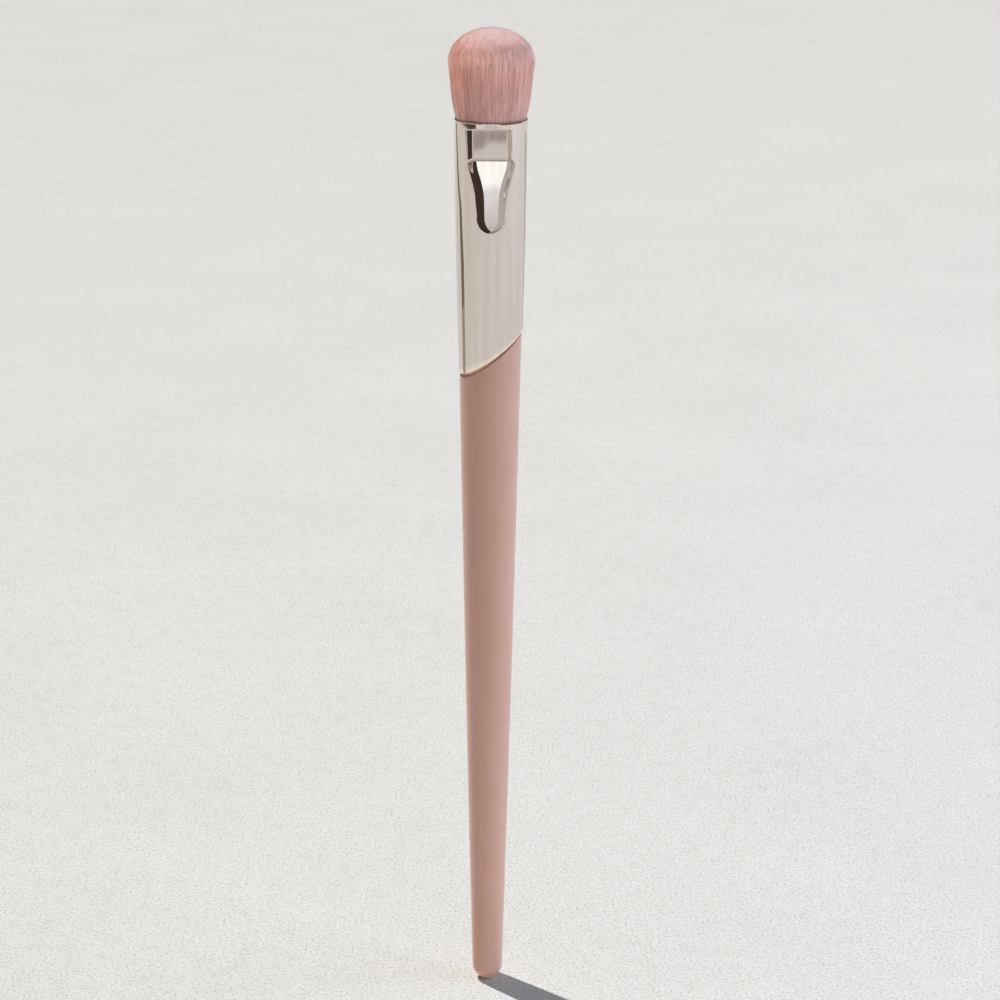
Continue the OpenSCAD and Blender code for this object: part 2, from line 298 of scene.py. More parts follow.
def crimpForm(z, inset, right):
    # half-width, wall, depth and fillet of the stamped recess at one height
    run, endShare = (ferrule["step"] + inset - z) / (ferrule["troughLength"] + inset), 1
    if run >= 1:
        return 0, 0, 0, 1
    if run <= 0:
        edge, wall, depth, fillet = panelForm(z, inset, right)
    else:
        edge, wall, depth, fillet = troughForm(run, right)
        endStart = 1 - ferrule["endLength"] / ferrule["troughLength"]
        if run > endStart:
            endShare = math.sqrt(1 - ((run - endStart) / (1 - endStart)) ** ferrule["endPower"])
    if right:
        wall *= ferrule["rightShare"]
    wall = min(wall * endShare ** ferrule["wallPower"], ferrule["wallLimit"] * edge * endShare)
    return edge * endShare, wall, depth, fillet


def columnPlaces(z, right):
    # columns from the middle of a face outwards; they follow the recess, so that its folds stay crisp
    reach = ferrule["faceShare"] * halfWidth(z)
    z = max(z, ferrule["step"] - ferrule["troughLength"] + ferrule["followFrom"])
    edge, wall = crimpForm(z, 0, right)[:2]
    edge, wall = max(edge, ferrule["columnEdge"]), max(wall, ferrule["columnWall"])
    foot = edge - wall
    folds = [fold + space for fold, space in zip((foot, foot, edge, edge), ferrule["foldSpaces"])]
    knots = [0, *folds, reach]
    places = [0.0]
    for a, b, count in zip(knots, knots[1:], ferrule["columns"]):
        places += spaced(a, b, count)
    return places


def facePoint(place, z, inset):
    # x and distance from the middle plane of a point on the front or back
    w, d = halfWidth(z), halfDepth(z)
    x = place * (w - inset) / w
    plain = (d - inset) * math.sqrt(max(1 - (abs(place) / w) ** 2, 0))
    edge, wall, depth, fillet = crimpForm(z, inset, place > 0)
    if depth == 0 or edge < ferrule["leastEdge"]:
        return x, plain
    bottom = faceDepth - depth
    edgeY = d * math.sqrt(1 - (edge / w) ** 2)
    lean = max((edgeY - bottom) / max(wall, ferrule["leastWall"]), ferrule["leastLean"])
    rise = -smoothLower(0, edge - wall - abs(place), fillet)
    return x, smoothLower(plain, bottom + rise * lean - inset, ferrule["blend"])


def sidePoint(side, angle, z, inset):
    return side * (halfWidth(z) - inset) * math.cos(angle), (halfDepth(z) - inset) * math.sin(angle)


def slanted(rise, share=0):
    # heights of a row that follows the slanted edge, or is drawn by a share towards the level rows
    def heightAt(x, y):
        z = jointHeight + ferrule["gap"] + rise
        z += (x * math.cos(slantTurn) + y * math.sin(slantTurn)) * slope
        return mix(z, ferrule["plainTop"], share)
    return heightAt


def ferruleRing(height, inset):
    # one row round the tube, an inset in from its outer face; height is a number or a slanted() row
    def at(pointAt):
        if not callable(height):
            return (*pointAt(height), height)
        z = jointHeight
        for _ in range(joint["rounds"]):
            z = height(*pointAt(z))
        return (*pointAt(z), z)

    def onFace(k, facing):
        def pointAt(z):
            x, y = facePoint(math.copysign(columnPlaces(z, k > 0)[abs(k)], k), z, inset)
            return x, facing * y
        return at(pointAt)

    def onSide(side, angle):
        return at(lambda z: sidePoint(side, angle, z, inset))

    reach, sideColumns = sum(ferrule["columns"]), ferrule["sideColumns"]
    angles = [math.acos(ferrule["faceShare"]) * (1 - 2 * k / sideColumns) for k in range(1, sideColumns)]
    ring = [onFace(k, -1) for k in range(-reach, reach + 1)]        # front, left to right
    ring += [onSide(1, -a) for a in angles]                         # right side, front to back
    ring += [onFace(k, 1) for k in range(reach, -reach - 1, -1)]    # back, right to left
    return ring + [onSide(-1, a) for a in angles]                   # left side, back to front


def platingPaintedLight(rings, paintedHighlightRows):
    # 0.5 is plain plating and 1 a painted highlight on the cut edge; the fold over the trough gets painted
    # shade, darkest at the middle of its height
    paintedLightTones = []
    widthMargin, depthMargin = ferrule["foldMargins"]
    foldHalf, foldDepth = ferrule["troughLeft"] - widthMargin, ferrule["panelDepth"] - depthMargin
    for number, ring in enumerate(rings):
        for x, y, z in ring:
            away = abs(z - ferrule["step"] - ferrule["foldRise"]) / ferrule["foldReach"]
            inFold = abs(x) < foldHalf and faceDepth - abs(y) > foldDepth
            fold = max(0, 1 - away ** 2) if inFold else 0
            paintedLightTones.append(1.0 if number < paintedHighlightRows else 0.5 - ferrule["foldPaintedShade"] * fold)
    return paintedLightTones


def buildFerrule(material):
    rim, sheet, plainTop, step = ferrule["rim"], ferrule["sheet"], ferrule["plainTop"], ferrule["step"]
    cutTurns = [math.pi / 2 * k / ferrule["cutRows"] for k in range(ferrule["cutRows"] + 1)]
    rings = [ferruleRing(slanted(rim * (1 - math.cos(a))), rim * (1 - math.sin(a))) for a in cutTurns]
    rings += [ferruleRing(slanted(rim + rise), 0) for rise in ferrule["edgeRows"]]
    # the rows made so far, round the cut edge, get the painted highlight
    paintedHighlightRows, slantRows = len(rings), ferrule["slantRows"]
    nearCut = rim + ferrule["edgeRows"][-1]
    rings += [ferruleRing(slanted(nearCut, k / slantRows), 0) for k in range(1, slantRows)]

    # heights and the number of rows up to them, which lie closer where the crimp turns
    troughEnd, crimpTop = step - ferrule["troughLength"], mouthHeight - ferrule["lip"]
    rimFoot = mouthHeight - rim
    rowStops = [(plainTop, 0), (troughEnd - 0.3, 14), (troughEnd + 2.2, 26), (step - 0.2, 34),
                (step + 0.6, 24), (crimpTop - 0.4, 12), (crimpTop + 0.3, 14), (rimFoot - 0.05, 5),
                (rimFoot, 1)]
    heights = [plainTop]
    for (low, _), (high, count) in zip(rowStops, rowStops[1:]):
        heights += spaced(low, high, count)
    rings += [ferruleRing(z, 0) for z in heights]

    for k in range(1, ferrule["rimRows"] + 1):                      # rounded rim of the mouth
        a = math.pi * k / ferrule["rimRows"]
        rings.append(ferruleRing(rimFoot + rim * math.sin(a), sheet / 2 * (1 - math.cos(a))))
    rings += [ferruleRing(z, sheet) for z in heights[::2][::-1]]    # inner face, down to the cut edge
    rings.append(ferruleRing(slanted(rim, 0.5), sheet))
    rings.append(ferruleRing(slanted(rim), sheet))
    rings.append(ferruleRing(slanted(0), sheet - rim))
    points, faces = skinRings(rings, closedLoop=True)
    paintedLightTones = platingPaintedLight(rings, paintedHighlightRows)
    makePiece("platedFerrule", points, faces, material, "ferrule", paintedLightTones)


# Bristles: several thousand fine tapered filaments, cut to a dome and slightly clumped

tuft = {
    # outline: heights with their half-widths, part of a quarter sine that it follows up to the bend,
    # the dome's height, and depth as a share of width
    "foot": 159.35, "footHalf": 5.71, "bend": 165.0, "bendHalf": 6.75, "bendTurn": 0.9,
    "widest": 169.6, "half": 7.165, "dome": 5.65, "depthShare": 0.928,
    # filaments down the sides, at the crown, and loose ones
    "outer": 1150, "tips": 4600, "strays": 230,
    "thickness": 0.13, "tip": 0.03, "taper": 2.0, "taperPower": 0.7, "looseThickness": 0.45,
    "packed": 0.972,            # share of the width where the filaments merge into one mass
    "ribs": 420, "ribDepth": 0.009, "packedRows": 22, "domeRows": 16,
    "crownCover": 0.36,         # how far the tips stand out of that mass at the crown
    "leastRing": 0.01, "leastTip": 0.002,   # smallest shares of the half-width, for its rows and the tips
    "sideShares": (0.968, 0.998), "looseShares": (0.97, 1.0),   # shares at which the side filaments stand
    "tipShare": 0.972, "tipSpread": 0.006, "turnSpread": 0.02,      # of the crown's tips
    "domeEdge": 0.985,          # filaments end inside this share of the dome
    "uneven": 0.16,             # spread of the tips' heights
    "sunk": 0.1, "looseRise": 0.3,          # side filaments end this far under the dome, loose ones higher
    "lowTips": 0.05, "lowBy": 0.45,         # share of the crown's tips that end lower
    "tipLength": 3.2, "tipRows": 4,         # length of a crown filament, of which only the end can show
    "stray": 0.1,               # sideways spread of the tips
    "outShare": 0.3, "looseOut": 0.2, "looseLimit": 0.32,       # and their spread outwards
    "margin": 0.03,             # side filaments stand at least this far inside the outline
    "over": 0.42, "overPower": 1.6, "leastOver": 0.03,      # how far they lean in over the shoulder
    "overSunk": 0.06, "overLayer": 0.1, "overRise": 0.02,   # how deep they lie there, and their least rise
    "sideRows": 9, "sidePower": 0.85, "overRows": 4,
    "wave": 0.06, "leastWave": 0.3, "waveTurns": (5, 4),
    "locks": 60, "locking": 0.66, "lockSpread": 0.35, "leastLock": 0.1, "overLock": 0.06,
    "colourFrom": 160, "colourTo": 175,     # heights between which the colour changes
    "seed": 11,
}
sideSpread = (tuft["half"] - tuft["bendHalf"]) / (tuft["widest"] - tuft["bend"])


def headHalf(z):
    if z < tuft["bend"]:
        s, quarter = (z - tuft["foot"]) / (tuft["bend"] - tuft["foot"]), math.pi / 2
        widening = (tuft["bendHalf"] - tuft["footHalf"]) * math.sin(quarter * s * tuft["bendTurn"])
        return tuft["footHalf"] + widening / math.sin(quarter * tuft["bendTurn"])
    return tuft["bendHalf"] + sideSpread * (z - tuft["bend"])


def domeHeight(rho):
    # where the elliptic dome ends a filament that stands at the share rho of the half-width
    w, m, rr = tuft["half"], sideSpread * tuft["dome"], rho * rho
    a, b, c = m * m * rr + w * w, w * m * rr, w * w * (rr - 1)
    return tuft["widest"] + tuft["dome"] * (math.sqrt(b * b - a * c) - b) / a


def buildPackedBristles(material):
    # the middle of the tuft, where the filaments lie too close to tell apart: a ribbed, domed mass
    chance = np.random.default_rng(tuft["seed"] + 1)
    columns = tuft["ribs"]
    rough = np.tile(chance.uniform(-1, 1, columns), 3)      # three times round, so that the ends meet
    ribs = np.convolve(rough, [0.25, 0.5, 0.25], "same")[columns:2 * columns]
    sideHeights = [tuft["foot"]] + spaced(tuft["foot"], tuft["widest"], tuft["packedRows"])
    rows = [(1.0, z) for z in sideHeights]
    shrink = 1 - tuft["crownCover"] / tuft["dome"]
    for k in range(1, tuft["domeRows"] + 1):
        rho = max(math.cos(math.pi / 2 * k / tuft["domeRows"]), tuft["leastRing"])
        rows.append((rho, mix(tuft["widest"], domeHeight(rho), shrink)))
    rings = []
    for rho, z in rows:
        ring = []
        for j, rib in enumerate(ribs):
            t = 2 * math.pi * j / columns
            w = rho * (tuft["packed"] + tuft["ribDepth"] * float(rib)) * headHalf(z)
            ring.append((w * math.cos(t), w * tuft["depthShare"] * math.sin(t), z))
        rings.append(ring)
    points, faces = skinRings(rings)
    makePiece("packedBristles", points, faces, material, "bristle_tuft")


def addFilament(points, faces, line, phase, thickness):
    # a three-sided tapered filament along a line of points
    base, top = len(points), line[-1][2]
    for x, y, z in line:
        taper = min((top - z) / tuft["taper"], 1)
        r = mix(tuft["tip"], thickness, taper ** tuft["taperPower"]) / 2
        for c in range(3):
            a = phase + c * 2 * math.pi / 3
            points.append(((x + r * math.cos(a)) * mm, (y + r * math.sin(a)) * mm, z * mm))
    for k in range(1, len(line)):
        low, high = base + 3 * (k - 1), base + 3 * k
        for c in range(3):
            n = (c + 1) % 3
            faces.append((low + c, low + n, high + n, high + c))
    faces.append((base + 2, base + 1, base))
    last = base + 3 * (len(line) - 1)
    faces.append((last, last + 1, last + 2))


def sideLine(rho, turn, pull, top, out, over, side, sway, phase):
    # up the side of the tuft, drawn towards its lock, and then in over the shoulder
    rows, line = tuft["sideRows"], []
    turnX, turnY = tuft["waveTurns"]
    for k in range(rows + tuft["overRows"] + 1):
        s, past = min((k / rows) ** tuft["sidePower"], 1), max(k - rows, 0)
        if past and over < tuft["leastOver"]:
            break
        if past:
            share = rho - over * past / tuft["overRows"]
            low = domeHeight(share) - tuft["overSunk"] - tuft["overLayer"] * tuft["uneven"] * past
            z = max(low, line[-1][2] + tuft["overRise"])
            reach = share * headHalf(z)
        else:
            z = mix(tuft["foot"], top, s)
            reach = min(rho * headHalf(z), headHalf(z) - tuft["margin"]) + out * s * s
        t = turn + pull * s * s * (1 + tuft["overLock"] * past)
        waveX, waveY = math.sin(phase + turnX * s), math.cos(phase + turnY * s)
        x = reach * math.cos(t) + (sway * waveX - side * s * math.sin(t)) * s
        y = reach * tuft["depthShare"] * math.sin(t) + (sway * waveY + side * s * math.cos(t)) * s
        line.append((x, y, z))
    return line


def buildSideBristles(material, chance):
    # down the sides: full length, drawn together into locks
    locks, spread = tuft["locks"], tuft["lockSpread"]
    lockTurn = 2 * math.pi * (np.arange(locks) + chance.uniform(-spread, spread, locks)) / locks
    lockPull = tuft["locking"] * chance.uniform(tuft["leastLock"], 1, locks)
    points, faces = [], []
    for i in range(tuft["outer"] + tuft["strays"]):
        loose = i >= tuft["outer"]
        rho = chance.uniform(*tuft["looseShares" if loose else "sideShares"])
        turn = chance.uniform(0, 2 * math.pi)
        away = (lockTurn - turn + math.pi) % (2 * math.pi) - math.pi
        lock = int(np.argmin(np.abs(away)))
        top = domeHeight(min(rho, tuft["domeEdge"])) - tuft["sunk"] - abs(chance.normal(0, tuft["uneven"]))
        phase, sway = chance.uniform(0, 2 * math.pi), chance.uniform(tuft["leastWave"], 1) * tuft["wave"]
        if loose:
            top += tuft["looseRise"]
            out = min(abs(chance.normal(0, tuft["looseOut"])), tuft["looseLimit"])
        else:
            out = chance.normal(0, tuft["outShare"] * tuft["stray"])
        side = chance.normal(0, tuft["stray"])
        over = 0 if loose else tuft["over"] * chance.uniform(0, 1) ** tuft["overPower"]
        line = sideLine(rho, turn, away[lock] * lockPull[lock], top, out, over, side, sway, phase)
        addFilament(points, faces, line, phase, tuft["thickness"] * (tuft["looseThickness"] if loose else 1))
    piece = makePiece("sideBristles", points, faces, material, "bristle_tuft")
    piece.visible_shadow = False        # light passes between fine filaments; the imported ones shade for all


def buildCrownBristles(material, chance):
    # at the crown: only the ends show
    goldenTurn = math.pi * (3 - math.sqrt(5))       # spreads the tips evenly
    points, faces = [], []
    for i in range(tuft["tips"]):
        rho = math.sqrt((i + 0.5) / tuft["tips"]) * tuft["tipShare"] + chance.normal(0, tuft["tipSpread"])
        rho = min(max(rho, tuft["leastTip"]), tuft["domeEdge"])
        turn = i * goldenTurn + chance.normal(0, tuft["turnSpread"])
        top = domeHeight(rho) - abs(chance.normal(0, tuft["uneven"]))
        if chance.uniform() < tuft["lowTips"]:
            top -= tuft["lowBy"]
        phase = chance.uniform(0, 2 * math.pi)
        strayX, strayY = chance.normal(0, tuft["stray"], 2)
        line = []
        for k in range(tuft["tipRows"] + 1):
            s = k / tuft["tipRows"]
            z = top - tuft["tipLength"] * (1 - s)
            x = rho * headHalf(z) * math.cos(turn) + strayX * s * s
            y = rho * headHalf(z) * tuft["depthShare"] * math.sin(turn) + strayY * s * s
            line.append((x, y, z))
        addFilament(points, faces, line, phase, tuft["thickness"])
    piece = makePiece("crownBristles", points, faces, material, "bristle_tuft")
    piece.visible_shadow = False


# Materials

def satinLacquer():
    # Pigmented polyurethane lacquer, sprayed on turned wood and rubbed down: an even dusty pink
    # with a soft, wide sheen and no grain showing through.
    material, tree, output = newMaterial("satinPolyurethaneLacquer")
    place = addNode(tree, "TexCoord").outputs["Object"]
    cloud = addNode(tree, "TexNoise", {"Scale": perMetre(9), "Detail": 2.0}, {"Vector": place})
    colour = addNode(tree, "ValToRGB", {"stops": [(0.3, linear("#D9A48F")), (0.7, linear("#DDA996"))]},
                     {"Fac": cloud.outputs["Fac"]})
    # sprayed lacquer dries in low waves about 0.7 mm across
    peel = addNode(tree, "TexNoise", {"Scale": perMetre(0.7), "Detail": 1.0}, {"Vector": place})
    bump = addNode(tree, "Bump", {"Strength": 0.12, "Distance": 0.01 * mm}, {"Height": peel.outputs["Fac"]})
    rough = addNode(tree, "MapRange", {"To Min": 0.33, "To Max": 0.41}, {"Value": cloud.outputs["Fac"]})
    shader = addNode(tree, "BsdfPrincipled",
                     {"IOR": 1.5, "Coat Weight": 0.35, "Coat Roughness": 0.22, "Coat IOR": 1.5},
                     {"Base Color": colour.outputs["Color"], "Roughness": rough.outputs["Result"],
                      "Normal": bump.outputs["Normal"]})
    tree.links.new(shader.outputs["BSDF"], output.inputs["Surface"])
    return material


def champagnePlating():
    # Thin pale-gold plating over nickel on drawn brass, polished: a near mirror with faint
    # lengthwise lines from the drawing die.
    material, tree, output = newMaterial("polishedChampagnePlating")
    place = addNode(tree, "TexCoord").outputs["Object"]
    stretched = addNode(tree, "Mapping", {"Scale": (perMetre(1.1), perMetre(1.1), perMetre(40))},
                        {"Vector": place})
    lines = addNode(tree, "TexNoise", {"Scale": 1.0, "Detail": 4.0}, {"Vector": stretched.outputs["Vector"]})
    # the tone attribute paints light: a highlight on the cut edge and shade in the fold over the trough
    tone = addNode(tree, "Attribute", {"attribute_name": "tone"})
    plating = addNode(tree, "ValToRGB", {"stops": [(0.0, linear("#8F8580")), (0.5, linear("#E4DAD4")),
                                                   (1.0, linear("#FFF0E6"))]}, {"Fac": tone.outputs["Fac"]})
    drawn = addNode(tree, "ValToRGB", {"stops": [(0.3, linear("#F4F1EE")), (0.7, linear("#FFFFFF"))]},
                    {"Fac": lines.outputs["Fac"]})
    colour = addNode(tree, "Mix", {"data_type": "RGBA", "blend_type": "MULTIPLY", 0: 1.0},
                     {6: plating.outputs["Color"], 7: drawn.outputs["Color"]})
    rough = addNode(tree, "MapRange", {"To Min": 0.015, "To Max": 0.045}, {"Value": lines.outputs["Fac"]})
    bump = addNode(tree, "Bump", {"Strength": 0.04, "Distance": 0.003 * mm},
                   {"Height": lines.outputs["Fac"]})
    shader = addNode(tree, "BsdfPrincipled", {"Metallic": 1.0},
                     {"Base Color": colour.outputs[2], "Roughness": rough.outputs["Result"],
                      "Normal": bump.outputs["Normal"]})
    tree.links.new(shader.outputs["BSDF"], output.inputs["Surface"])
    return material


def pinkFilament():
    # Tapered polyester filament, dyed pink: matt, a little fuzzy, and paler at the crown. Darker at the foot;
    # the brighter band at the shoulder is painted light, lifting the shade on the tuft's front, and darker
    # streaks are painted shade between clumps of filaments.
    material, tree, output = newMaterial("dyedPolyesterFilament")
    place = addNode(tree, "TexCoord").outputs["Object"]
    stretched = addNode(tree, "Mapping", {"Scale": (perMetre(0.42), perMetre(0.42), perMetre(5))},
                        {"Vector": place})
    streak = addNode(tree, "TexNoise", {"Scale": 1.0, "Detail": 3.0, "Roughness": 0.6},
                     {"Vector": stretched.outputs["Vector"]})
    height = addNode(tree, "SeparateXYZ", {}, {"Vector": place})
    rise = addNode(tree, "MapRange",
                   {"From Min": tuft["colourFrom"] * mm, "From Max": tuft["colourTo"] * mm},
                   {"Value": height.outputs["Z"]})
    # colour by height; the bright band at share 0.68 is painted light on the shaded front of the tuft
    dyeWithPaintedLight = addNode(tree, "ValToRGB", {"stops": [(0.0, linear("#E9BAAE")), (0.5, linear("#FCC6B6")),
                                                (0.68, linear("#FFD2C2")), (0.8, linear("#EDC3B6")),
                                                (1.0, linear("#EBCBC7"))]}, {"Fac": rise.outputs["Result"]})
    # painted shade in streaks, standing in for the shadows between clumps of filaments
    paintedStreakShade = addNode(tree, "ValToRGB", {"stops": [(0.3, linear("#DDBCB5")), (0.6, linear("#FFFFFF"))]},
                   {"Fac": streak.outputs["Fac"]})
    mixed = addNode(tree, "Mix", {"data_type": "RGBA", "blend_type": "MULTIPLY", 0: 0.7},
                    {6: dyeWithPaintedLight.outputs["Color"], 7: paintedStreakShade.outputs["Color"]})
    shader = addNode(tree, "BsdfPrincipled",
                     {"Roughness": 0.7, "IOR": 1.4, "Sheen Weight": 0.15, "Sheen Roughness": 0.5},
                     {"Base Color": mixed.outputs[2]})
    tree.links.new(shader.outputs["BSDF"], output.inputs["Surface"])
    return material


def setFilament():
    # The same filaments soaked in epoxy: darker, hard and slightly shiny, with lengthwise ribs.
    material, tree, output = newMaterial("filamentSetInEpoxy")
    place = addNode(tree, "TexCoord").outputs["Object"]
    stretched = addNode(tree, "Mapping", {"Scale": (perMetre(0.25), perMetre(0.25), perMetre(6))},
                        {"Vector": place})
    ribs = addNode(tree, "TexNoise", {"Scale": 1.0, "Detail": 2.0}, {"Vector": stretched.outputs["Vector"]})
    colour = addNode(tree, "ValToRGB", {"stops": [(0.3, linear("#9E6F66")), (0.7, linear("#C08F82"))]},
                     {"Fac": ribs.outputs["Fac"]})
    bump = addNode(tree, "Bump", {"Strength": 0.5, "Distance": 0.05 * mm}, {"Height": ribs.outputs["Fac"]})
    shader = addNode(tree, "BsdfPrincipled", {"Roughness": 0.38, "IOR": 1.55},
                     {"Base Color": colour.outputs["Color"], "Normal": bump.outputs["Normal"]})
    tree.links.new(shader.outputs["BSDF"], output.inputs["Surface"])
    return material


def waxedThread():
    # Waxed polyester binding thread: off-white plies with a dull shine. The wave texture draws
    # the twist in bands 2 mm apart.
    material, tree, output = newMaterial("waxedPolyesterThread")
    place = addNode(tree, "TexCoord").outputs["Object"]
    twist = addNode(tree, "TexWave", {"wave_type": "BANDS", "bands_direction": "DIAGONAL",
                                      "Scale": perMetre(3.14), "Distortion": 1.5}, {"Vector": place})
    colour = addNode(tree, "ValToRGB", {"stops": [(0.2, linear("#CFC6B4")), (0.8, linear("#F0EADC"))]},
                     {"Fac": twist.outputs["Fac"]})
    bump = addNode(tree, "Bump", {"Strength": 0.5, "Distance": 0.05 * mm}, {"Height": twist.outputs["Fac"]})
    shader = addNode(tree, "BsdfPrincipled", {"Roughness": 0.5, "IOR": 1.5},
                     {"Base Color": colour.outputs["Color"], "Normal": bump.outputs["Normal"]})
    tree.links.new(shader.outputs["BSDF"], output.inputs["Surface"])
    return material


def curedEpoxy():
    # Cured epoxy: pale amber and glossy, slightly cloudy, with air bubbles of about 0.4 mm.
    material, tree, output = newMaterial("curedEpoxy")
    place = addNode(tree, "TexCoord").outputs["Object"]
    cloud = addNode(tree, "TexNoise", {"Scale": perMetre(2.5), "Detail": 2.0}, {"Vector": place})
    bubbles = addNode(tree, "TexVoronoi", {"Scale": perMetre(1.1)}, {"Vector": place})
    colour = addNode(tree, "ValToRGB", {"stops": [(0.3, linear("#D9C48E")), (0.7, linear("#E8DAB2"))]},
                     {"Fac": cloud.outputs["Fac"]})
    pits = addNode(tree, "MapRange", {"From Min": 0.1, "From Max": 0.3},
                   {"Value": bubbles.outputs["Distance"]})
    bump = addNode(tree, "Bump", {"Strength": 0.3, "Distance": 0.05 * mm},
                   {"Height": pits.outputs["Result"]})
    shader = addNode(tree, "BsdfPrincipled", {"Roughness": 0.12, "IOR": 1.55},
                     {"Base Color": colour.outputs["Color"], "Normal": bump.outputs["Normal"]})
    tree.links.new(shader.outputs["BSDF"], output.inputs["Surface"])
    return material


def paleConcrete():
    # Smooth pale cast concrete: nearly white, cloudy, with fine grey sand specks.
    material, tree, output = newMaterial("paleCastConcrete")
    place = addNode(tree, "TexCoord").outputs["Object"]
    cloud = addNode(tree, "TexNoise", {"Scale": perMetre(60), "Detail": 5.0, "Roughness": 0.6},
                    {"Vector": place})
    base = addNode(tree, "ValToRGB", {"stops": [(0.3, linear("#E6E4E1")), (0.7, linear("#EAE9E6"))]},
                   {"Fac": cloud.outputs["Fac"]})
    grit = addNode(tree, "TexNoise", {"Scale": perMetre(0.55), "Detail": 3.0, "Roughness": 0.75},
                   {"Vector": place})
    specks = addNode(tree, "ValToRGB", {"stops": [(0.34, linear("#B9B7B5")), (0.44, linear("#EDEBE9")),
                                                  (0.62, linear("#FFFFFF"))]}, {"Fac": grit.outputs["Fac"]})
    # coarser grains, 4 mm, which still show far away
    coarse = addNode(tree, "TexNoise", {"Scale": perMetre(4), "Detail": 4.0, "Roughness": 0.8},
                     {"Vector": place})
    patches = addNode(tree, "ValToRGB", {"stops": [(0.35, linear("#EFEEEC")), (0.55, linear("#FFFFFF"))]},
                      {"Fac": coarse.outputs["Fac"]})
    patched = addNode(tree, "Mix", {"data_type": "RGBA", "blend_type": "MULTIPLY", 0: 0.4},
                      {6: base.outputs["Color"], 7: patches.outputs["Color"]})
    mixed = addNode(tree, "Mix", {"data_type": "RGBA", "blend_type": "MULTIPLY", 0: 0.85},
                    {6: patched.outputs[2], 7: specks.outputs["Color"]})
    bump = addNode(tree, "Bump", {"Strength": 0.25, "Distance": 0.15 * mm}, {"Height": grit.outputs["Fac"]})
    shader = addNode(tree, "BsdfPrincipled", {"Roughness": 0.85, "Specular IOR Level": 0.2},
                     {"Base Color": mixed.outputs[2], "Normal": bump.outputs["Normal"]})
    tree.links.new(shader.outputs["BSDF"], output.inputs["Surface"])
    return material


buildHandle(satinLacquer())
print("handle built")
buildFerrule(champagnePlating())
print("ferrule built")
filament = pinkFilament()
filamentChance = np.random.default_rng(tuft["seed"])
buildPackedBristles(filament)
buildSideBristles(filament, filamentChance)
buildCrownBristles(filament, filamentChance)
print("bristles built")
innerFinish = {"bristle_root": setFilament(), "binding_thread": waxedThread()}
innerFinish["root_glue"] = innerFinish["handle_glue"] = curedEpoxy()
for name, material in innerFinish.items():
    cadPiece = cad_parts[name]
    cadPiece.data.materials.clear()
    cadPiece.data.materials.append(material)
print("inner pieces finished")


# Stage: floor, cards, light and camera

studio = {
    "floorHalf": 9000,
    "cardLayers": (0.4, 0.8, 1.2),          # heights of the cards that lie on the floor
    "lipFar": 966,                          # outer edge of the lip's cards; the side floor cards start there
    "cardTurns": (15, 45, 80, 115), "cardFar": 1010, "cardHeight": 2600,    # the tall cards at the sides
    "arcStep": 5,                           # degrees between the points of a card's round edge
    "softboxTurn": 80, "softboxFar": 2000, "softboxHeight": 500, "softboxAim": 80,
    "softboxSize": (1500, 1000), "softboxPower": 26.7, "softboxColour": "#B9DBFF",
    # power, cone in degrees, width, place and the height that it is aimed at
    "lowFill": (1.6, 15, 60, (12, 600, 45), 15),        # lights the tail from the front, near the floor
    "headFill": (0.85, 7, 10, (-8, 600, 215), 169),     # and the bristles, past the floor in view
    "sunTurn": 48, "sunHeight": 58, "sunStrength": 3.1, "sunSize": 1.2, "sunColour": (1.0, 0.99, 0.97),
    "skyLeft": 0.03, "skyRight": 0.33, "skyColour": (1.0, 0.985, 0.975, 1.0), "backdrop": "#E1DFDB",
}
camera = {
    "place": (1.86, -449.0, 239.0), "pitch": 18.03, "roll": 0.34, "lens": 97.2, "sensor": 36.0,
    "near": 10, "far": 50000,
}


def glowCard(name, corners, colour, fadeStops=None, strength=1.0):
    # a card that only mirror-like surfaces see; fadeStops are colours at shares of its height
    mesh = bpy.data.meshes.new(name)
    mesh.from_pydata([tuple(v * mm for v in c) for c in corners], [], [tuple(range(len(corners)))])
    material, tree, output = newMaterial(name)
    glow = addNode(tree, "Emission", {"Color": linear(colour), "Strength": strength})
    if fadeStops:
        low, high = min(c[2] for c in corners) * mm, max(c[2] for c in corners) * mm
        height = addNode(tree, "SeparateXYZ", {}, {"Vector": addNode(tree, "TexCoord").outputs["Object"]})
        share = addNode(tree, "MapRange", {"From Min": low, "From Max": high},
                        {"Value": height.outputs["Z"]})
        fade = addNode(tree, "ValToRGB", {"stops": [(at, linear(shade)) for at, shade in fadeStops]},
                       {"Fac": share.outputs["Result"]})
        tree.links.new(fade.outputs["Color"], glow.inputs["Color"])
    tree.links.new(glow.outputs["Emission"], output.inputs["Surface"])
    mesh.materials.append(material)
    card = bpy.data.objects.new(name, mesh)
    bpy.context.scene.collection.objects.link(card)
    card.visible_camera = card.visible_shadow = card.visible_diffuse = card.visible_transmission = False


def polar(turn, distance, z):
    # a point seen from the brush; 0 degrees is towards the camera and positive turns go right
    a = math.radians(turn)
    return (distance * math.sin(a), -distance * math.cos(a), z)


def lying(points, z):
    # corners at one height, given as turns and distances
    return [polar(turn, distance, z) for turn, distance in points]


def arc(start, end, distance, z):
    # points along a circle round the brush, close enough together to follow it
    steps = max(int(abs(end - start) / studio["arcStep"]), 2)
    return lying([(turn, distance) for turn in [start, *spaced(start, end, steps)]], z)


def upright(start, end, distance, height):
    # corners of a card that stands on the floor
    near, top = [(start, distance), (end, distance)], [(end, distance), (start, distance)]
    return lying(near, 0) + lying(top, height)


